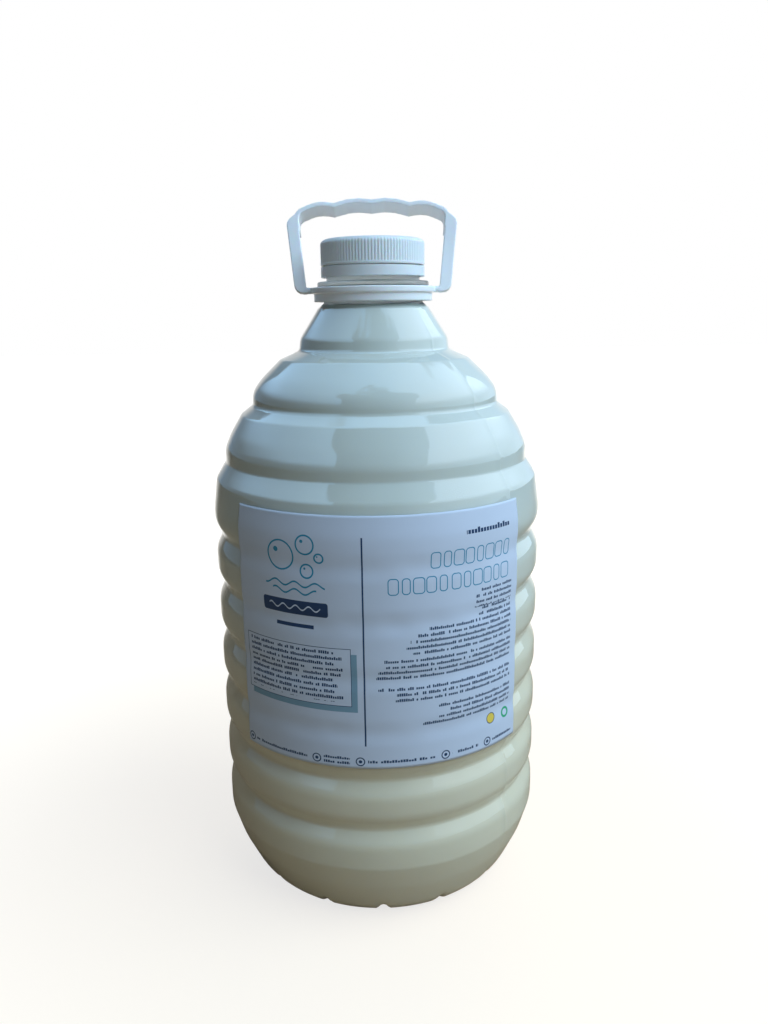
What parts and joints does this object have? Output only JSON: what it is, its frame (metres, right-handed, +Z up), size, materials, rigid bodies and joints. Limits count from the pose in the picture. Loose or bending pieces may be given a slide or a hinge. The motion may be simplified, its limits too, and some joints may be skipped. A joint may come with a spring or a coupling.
{
  "type": "laundry detergent bottle",
  "caption": "Filled ribbed clear plastic bottle with tiered shoulder, fluted base, ribbed screw cap on a tamper band, fold-up carrying handle on a neck ring, and a wrap label.",
  "frame": {"origin": "middle of the base, on the surface that the bottle stands on", "axes": "+Z up along the bottle's axis, -Y towards the label, +X along the handle's hinge line"},
  "size_m": [0.164, 0.1643, 0.3432],
  "materials": {
    "clear_plastic": "clear glossy blown plastic",
    "liquid": "milky liquid",
    "label_film": "satin printed sticker",
    "cap_plastic": "satin moulded white plastic",
    "liner_foam": "soft white foam",
    "handle_plastic": "satin moulded white plastic"
  },
  "bodies": {
    "bottle": {"bottle": "clear_plastic", "detergent": "liquid", "label": "label_film", "tamper_band": "cap_plastic"},
    "cap_seal": {"cap_liner": "liner_foam"},
    "cap": {"cap": "cap_plastic"},
    "handle_ring": {"handle_ring": "handle_plastic"},
    "handle_grip": {"handle_grip": "handle_plastic"}
  },
  "joints": [
    {"name": "cap_lift", "type": "slide", "parent": "bottle", "child": "cap_seal", "axis": [0, 0, 1], "range_m": [0, 0.012]},
    {"name": "cap_turn", "type": "hinge", "parent": "cap_seal", "child": "cap", "pos_m": [0, 0, 0.31], "axis": [0, 0, 1], "range_deg": [0, 360]},
    {"name": "handle_swivel", "type": "hinge", "parent": "bottle", "child": "handle_ring", "pos_m": [0, 0, 0.299], "axis": [0, 0, 1], "continuous": true},
    {"name": "handle_fold", "type": "hinge", "parent": "handle_ring", "child": "handle_grip", "pos_m": [0, 0, 0.299], "axis": [1, 0, 0], "range_deg": [-70, 110]}
  ],
  "couplings": [
    {"joint": "cap_turn", "follows": "cap_lift", "rad_per_m": 523.59}
  ]
}
